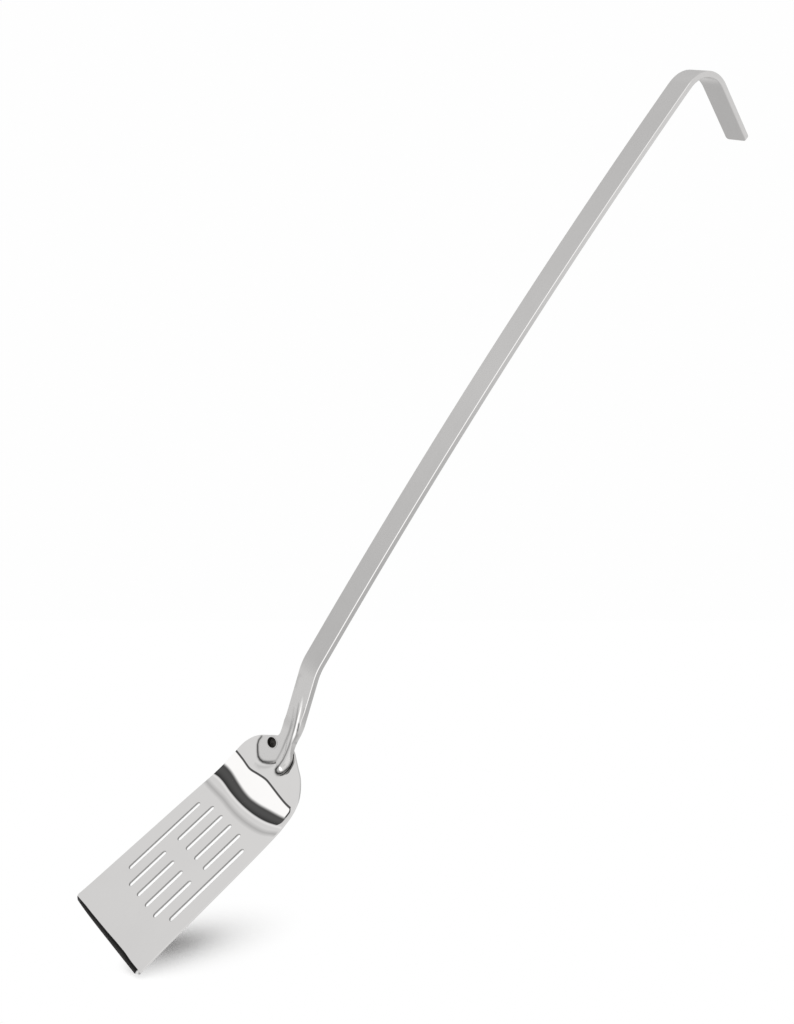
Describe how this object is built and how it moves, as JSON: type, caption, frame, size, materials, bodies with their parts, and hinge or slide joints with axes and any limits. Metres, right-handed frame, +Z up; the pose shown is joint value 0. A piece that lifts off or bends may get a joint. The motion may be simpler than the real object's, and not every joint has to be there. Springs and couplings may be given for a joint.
{
  "type": "slotted grill turner",
  "caption": "Long-handled slotted steel turner: flat blade with a bevelled front edge and slots, upturned tang, and a bowed flat-bar handle with a hanging hook.",
  "frame": {"origin": "middle of the blade's flat underside, on the tool's centre plane, where the blade rests", "axes": "+X from the blade's front edge towards the handle, +Z up out of the blade's top face, Y across the blade"},
  "size_m": [0.5955, 0.0758, 0.1904],
  "materials": {
    "polished_sheet": "mirror-polished stainless steel",
    "satin_bar": "satin stainless steel, drawn lengthwise",
    "rivet_steel": "plain stainless steel"
  },
  "bodies": {
    "root": {"blade": "polished_sheet", "handle": "satin_bar", "rivet": "rivet_steel"}
  },
  "joints": []
}
